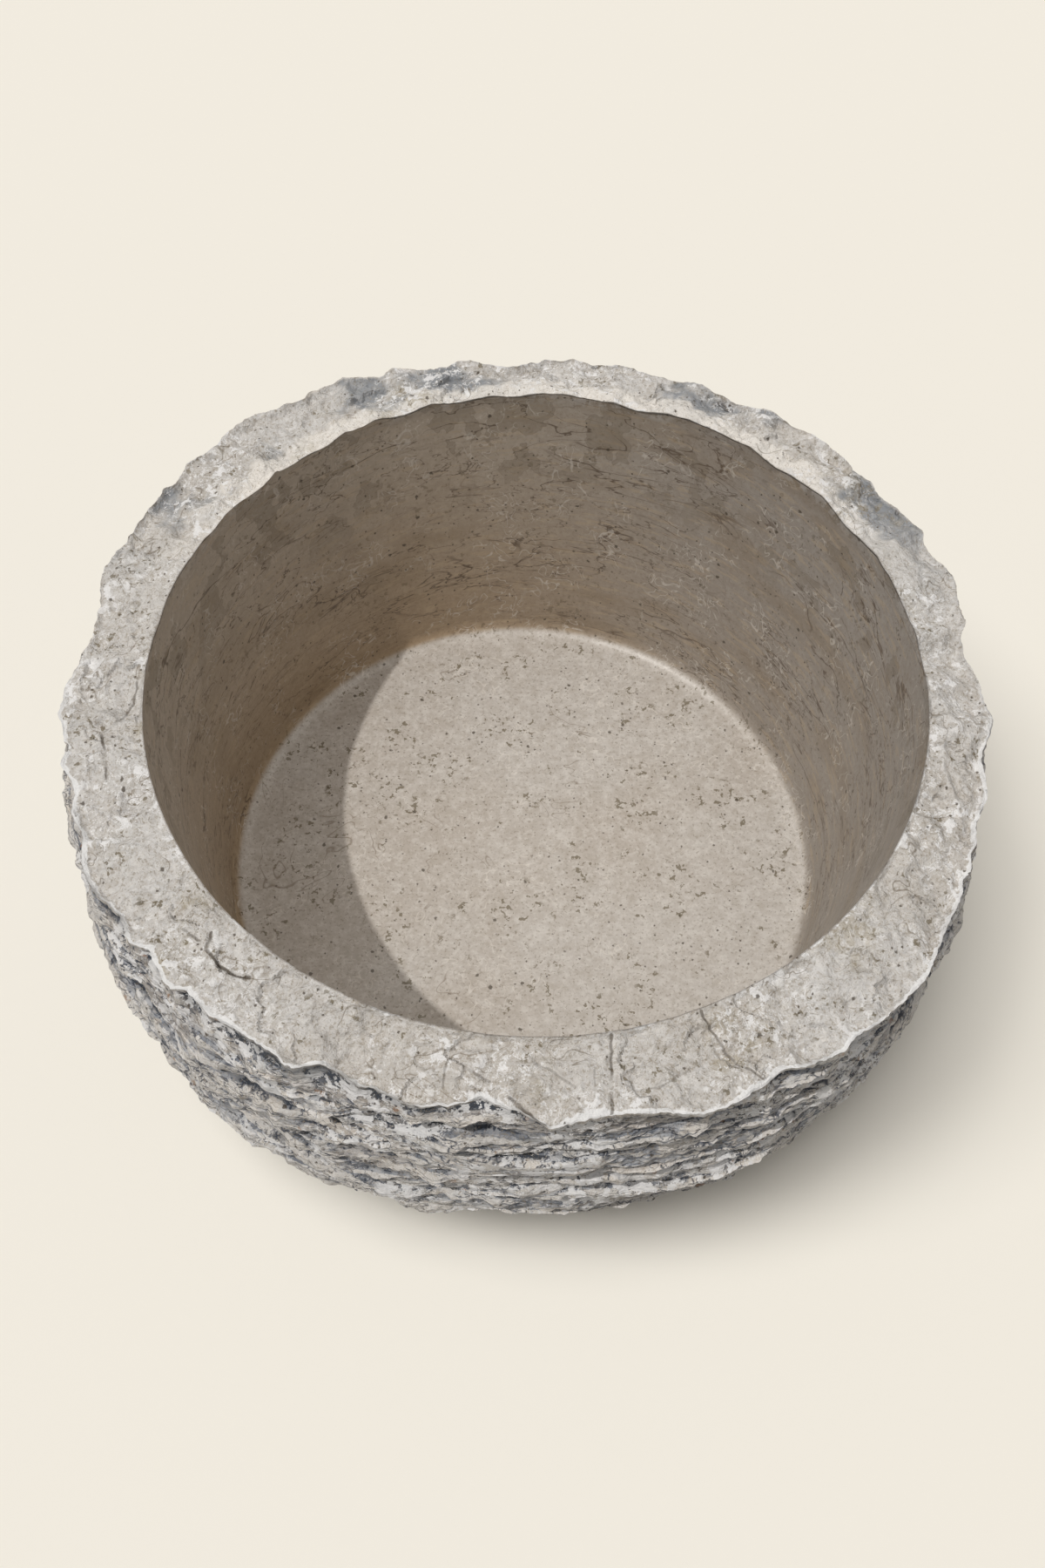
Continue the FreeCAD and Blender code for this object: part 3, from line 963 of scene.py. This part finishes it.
    def holes(self):
        """Dark pits all over, some of them in groups, and the cracks across the rim."""
        grouped = self.band(self.noise(22.0, 2.0, offset=35.0), 0.52, 0.58)
        hole = self.math("MAXIMUM", pits(self, 90.0, 0.17, 0.0014), pits(self, 260.0, 0.08, 0.0008, 3.0))
        hole = self.math("MAXIMUM", hole, self.within(pits(self, 190.0, 0.30, 0.0009, 5.0), grouped))
        hole = self.math("MAXIMUM", hole, self.within(cracks(self), self.rim))
        self.paint(hole, 0.85, (0.06, 0.045, 0.03))

    def material_with_relief(self):
        """The finished material. Hewn stone is rough below the mesh's scale, honed stone is nearly smooth."""
        lift = self.math("ADD", self.math("MULTIPLY", self.grain, 0.5), self.fine)
        lift = self.math("ADD", lift, self.math("MULTIPLY", self.within(self.streak, self.side), 2.0))
        chiselled = self.noise(52.0, 5.0, 0.62, offset=41.0)
        lift = self.math("ADD", lift, self.math("MULTIPLY", self.within(chiselled, self.rim), 3.2))
        lift = self.math("MULTIPLY", lift, self.band(self.honed, 0.0, 1.0, top=0.04, bottom=1.0))
        bump = self.node("ShaderNodeBump", {"Height": lift, "Strength": 0.8, "Distance": 0.0018})
        rough = self.band(self.honed, 0.0, 1.0, top=0.42, bottom=0.86)
        return self.finish(Base_Color=self.colour, Roughness=rough, Normal=bump.outputs[0])


def pad_rubber():
    """Black rubber with a fine moulded grain and dusty patches."""
    s = Shader("pad_rubber")
    grain = s.noise(900.0, 3.0)
    dust = s.band(s.noise(60.0, 4.0), 0.5, 0.7)
    colour = s.mix(grain, (0.018, 0.018, 0.019), (0.032, 0.031, 0.030))
    colour = s.mix(s.math("MULTIPLY", dust, 0.35), colour, (0.12, 0.11, 0.10))
    rough = s.band(dust, 0.0, 1.0, top=0.9, bottom=0.68)
    bump = s.node("ShaderNodeBump", {"Height": grain, "Strength": 0.4, "Distance": 0.0004})
    return s.finish(Base_Color=colour, Roughness=rough, Normal=bump.outputs[0])


def seen_share(tree):
    """1 for what the camera sees, straight or in a gloss, and 0 for light thrown from surface to surface."""
    path = tree.nodes.new("ShaderNodeLightPath")
    total = path.outputs["Is Camera Ray"]
    for name in ("Is Glossy Ray", "Is Transmission Ray"):
        more = tree.nodes.new("ShaderNodeMath")
        more.operation = "MAXIMUM"
        tree.links.new(total, more.inputs[0])
        tree.links.new(path.outputs[name], more.inputs[1])
        total = more.outputs[0]
    return total


def backdrop_paper():
    """Plain pale floor, which throws about half the light on the stone that its colour would."""
    s = Shader("backdrop_paper")
    colour = s.mix(seen_share(s.tree), BOUNCE_COLOUR, FLOOR_COLOUR)
    return s.finish(Base_Color=colour, Roughness=0.95)


def add_object(name, data):
    piece = bpy.data.objects.new(name, data)
    bpy.context.scene.collection.objects.link(piece)
    return piece


def dress_stone():
    piece = add_object("planter_stone", stone_mesh())
    piece.data.materials.append(Marble().material_with_relief())
    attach(piece, "root")
    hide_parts("planter_body")


def dress_pads():
    """The pads keep their CAD shape and get a rubber finish."""
    rubber = pad_rubber()
    for name, node in frame["nodes"].items():
        if name.startswith("floor_pad"):
            node.data.materials.clear()
            node.data.materials.append(rubber)


def lay_floor():
    corners = [(FLOOR_REACH * x, FLOOR_REACH * y, 0) for x, y in ((-1, -1), (1, -1), (1, 1), (-1, 1))]
    mesh = bpy.data.meshes.new("floor")
    mesh.from_pydata(corners, [], [(0, 1, 2, 3)])
    mesh.materials.append(backdrop_paper())
    floor = add_object("floor", mesh)
    return floor


def add_lamp(name, travel, strength, angle, colour, lit):
    """A lamp as far off as the sun, which lights only the given pieces."""
    light = bpy.data.lights.new(name, "SUN")
    light.energy = strength
    light.angle = angle
    light.color = colour
    lamp = add_object(name, light)
    lamp.rotation_euler = travel.to_track_quat("-Z", "Y").to_euler()
    group = bpy.data.collections.new(name + "_lights")
    for piece in lit:
        group.objects.link(piece)
    lamp.light_linking.receiver_collection = group


def set_lights(floor):
    pieces = [piece for piece in bpy.context.scene.objects if piece.type == "MESH" and piece is not floor]
    add_lamp("key", KEY_TRAVEL, KEY_STRENGTH, KEY_ANGLE, KEY_COLOUR, pieces)
    add_lamp("overhead", OVERHEAD_TRAVEL, OVERHEAD_STRENGTH, OVERHEAD_ANGLE, FILL_COLOUR, pieces)
    add_lamp("floor_key", FLOOR_KEY_TRAVEL, FLOOR_KEY_STRENGTH, FLOOR_KEY_ANGLE, KEY_COLOUR, [floor])
    add_lamp("floor_side", FLOOR_SIDE_TRAVEL, FLOOR_SIDE_STRENGTH, FLOOR_SIDE_ANGLE, KEY_COLOUR, [floor])
    world = bpy.data.worlds.new("soft_fill")
    world.use_nodes = True
    tree = world.node_tree
    tree.nodes.clear()
    fill = tree.nodes.new("ShaderNodeBackground")
    fill.inputs["Color"].default_value = (*FILL_COLOUR, 1.0)
    fill.inputs["Strength"].default_value = FILL_STRENGTH
    backdrop = tree.nodes.new("ShaderNodeBackground")
    backdrop.inputs["Color"].default_value = (*BACKDROP_COLOUR, 1.0)
    mix = tree.nodes.new("ShaderNodeMixShader")
    output = tree.nodes.new("ShaderNodeOutputWorld")
    for source, target in ((seen_share(tree), 0), (fill.outputs[0], 1), (backdrop.outputs[0], 2)):
        tree.links.new(source, mix.inputs[target])
    tree.links.new(mix.outputs[0], output.inputs[0])
    bpy.context.scene.world = world


def set_camera():
    data = bpy.data.cameras.new("camera")
    data.sensor_fit = "VERTICAL"
    data.sensor_height = FRAME_HEIGHT
    data.lens = CAMERA_LENS
    camera = add_object("camera", data)
    middle = Vector((stone.axis[0], stone.axis[1], stone.top))
    back = Vector((0, -math.cos(CAMERA_ELEVATION), math.sin(CAMERA_ELEVATION)))
    place = middle + CAMERA_DISTANCE * back
    target = middle + Vector((*CAMERA_TARGET, 0))
    turn = (target - place).to_track_quat("-Z", "Y").to_matrix() @ Matrix.Rotation(CAMERA_ROLL, 3, "Z")
    camera.matrix_world = Matrix.Translation(place) @ turn.to_4x4()
    bpy.context.scene.camera = camera


dress_stone()
dress_pads()
set_lights(lay_floor())
set_camera()
bpy.context.scene.view_settings.view_transform = "Standard"
